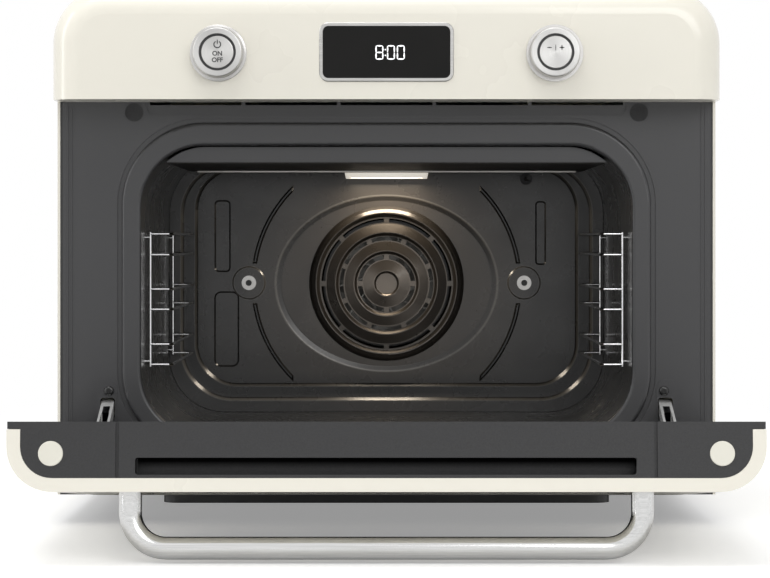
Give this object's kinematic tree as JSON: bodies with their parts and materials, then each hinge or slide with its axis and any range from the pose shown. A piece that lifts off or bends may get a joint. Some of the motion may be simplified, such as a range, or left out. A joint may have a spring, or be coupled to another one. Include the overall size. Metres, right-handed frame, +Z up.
{
  "type": "electric countertop oven",
  "caption": "Countertop convection oven with a drop-down front door, knob and display panel, rear fan, wire shelf supports and a tubular handle.",
  "frame": {"origin": "middle of the casing's footprint, on the plane the feet stand on", "axes": "+X to the right seen from the front, +Y to the rear, +Z up; the open door points to -Y"},
  "size_m": [0.499, 0.658, 0.404],
  "materials": {
    "cream_enamel": "satin",
    "cream_gloss": "gloss",
    "dark_moulding": "satin",
    "dark_enamel": "satin",
    "cavity_enamel": "gloss",
    "satin_steel": "satin",
    "chrome_wire": "polished",
    "zinc_sheet": "satin",
    "black_gloss": "gloss",
    "dark_plastic": "matte",
    "cream_plastic": "matte",
    "tinted_glass": "gloss",
    "clear_glass": "gloss",
    "lamp_glass": "frosted",
    "black_rubber": "matte",
    "mineral_wool": "matte",
    "circuit_board": "matte"
  },
  "bodies": {
    "casing": {"outer_wrap": "cream_enamel", "base_plate": "dark_enamel", "rear_cover": "cream_enamel", "feet": "black_rubber", "mains_inlet": "dark_plastic", "case_screws": "zinc_sheet", "control_panel": "cream_gloss", "display_bezel": "satin_steel", "display_glass": "black_gloss", "control_board": "circuit_board", "knob_collars": "satin_steel", "encoders": "dark_plastic", "front_frame": "dark_enamel", "frame_screws": "zinc_sheet", "door_bumpers": "black_rubber", "cavity_liner": "cavity_enamel", "cavity_back": "cavity_enamel", "back_screws": "zinc_sheet", "fan_drum": "cavity_enamel", "fan_cover": "cavity_enamel", "fan_motor": "zinc_sheet", "ring_heater": "satin_steel", "ceiling_plate": "cavity_enamel", "lamp_lens": "lamp_glass", "lamp_housing": "zinc_sheet", "top_heater": "satin_steel", "bottom_heater": "satin_steel", "side_rack_left": "chrome_wire", "side_rack_right": "chrome_wire", "temperature_probe": "satin_steel", "insulation": "mineral_wool", "air_duct": "zinc_sheet", "blower_housing": "zinc_sheet", "blower_motor": "zinc_sheet", "power_board": "circuit_board", "hinge_brackets": "zinc_sheet"},
    "door": {"door_skin": "cream_gloss", "door_core": "dark_moulding", "door_plugs": "cream_plastic", "door_outer_glass": "tinted_glass", "door_inner_glass": "clear_glass", "door_seal": "black_rubber", "handle_bar": "satin_steel", "handle_corners": "satin_steel"},
    "arm_left": {"hinge_arm_left": "chrome_wire"},
    "arm_right": {"hinge_arm_right": "chrome_wire"},
    "knob_left": {"knob_ring_left": "satin_steel"},
    "knob_right": {"knob_ring_right": "satin_steel"},
    "button_left": {"knob_button_left": "satin_steel"},
    "button_right": {"knob_button_right": "satin_steel"},
    "fan": {"fan_impeller": "zinc_sheet", "fan_shaft": "satin_steel"},
    "blower": {"blower_rotor": "zinc_sheet"}
  },
  "joints": [
    {"name": "door_hinge", "type": "hinge", "parent": "casing", "child": "door", "pos_m": [0, -0.177, 0.047], "axis": [-1, 0, 0], "range_deg": [0, 84.5]},
    {"name": "arm_pivot_left", "type": "hinge", "parent": "door", "child": "arm_left", "pos_m": [-0.2114, -0.21746, 0.06496], "axis": [1, 0, 0], "range_deg": [0, 51]},
    {"name": "arm_pivot_right", "type": "hinge", "parent": "door", "child": "arm_right", "pos_m": [0.2114, -0.21746, 0.06496], "axis": [1, 0, 0], "range_deg": [0, 51]},
    {"name": "knob_turn_left", "type": "hinge", "parent": "casing", "child": "knob_left", "pos_m": [-0.1248, -0.208, 0.3537], "axis": [0, 1, 0], "continuous": true},
    {"name": "button_press_left", "type": "slide", "parent": "casing", "child": "button_left", "axis": [0, 1, 0], "range_m": [0, 0.0012], "stiffness_N_per_m": 500},
    {"name": "knob_turn_right", "type": "hinge", "parent": "casing", "child": "knob_right", "pos_m": [0.1248, -0.208, 0.3537], "axis": [0, 1, 0], "continuous": true},
    {"name": "button_press_right", "type": "slide", "parent": "casing", "child": "button_right", "axis": [0, 1, 0], "range_m": [0, 0.0012], "stiffness_N_per_m": 500},
    {"name": "fan_spin", "type": "hinge", "parent": "casing", "child": "fan", "pos_m": [0, 0.15, 0.1777], "axis": [0, 1, 0], "continuous": true},
    {"name": "blower_spin", "type": "hinge", "parent": "casing", "child": "blower", "pos_m": [0, 0.092, 0.345], "axis": [1, 0, 0], "continuous": true}
  ],
  "couplings": [
    {"joint": "arm_pivot_left", "follows": "door_hinge", "ratio": 0.6},
    {"joint": "arm_pivot_right", "follows": "door_hinge", "ratio": 0.6}
  ]
}
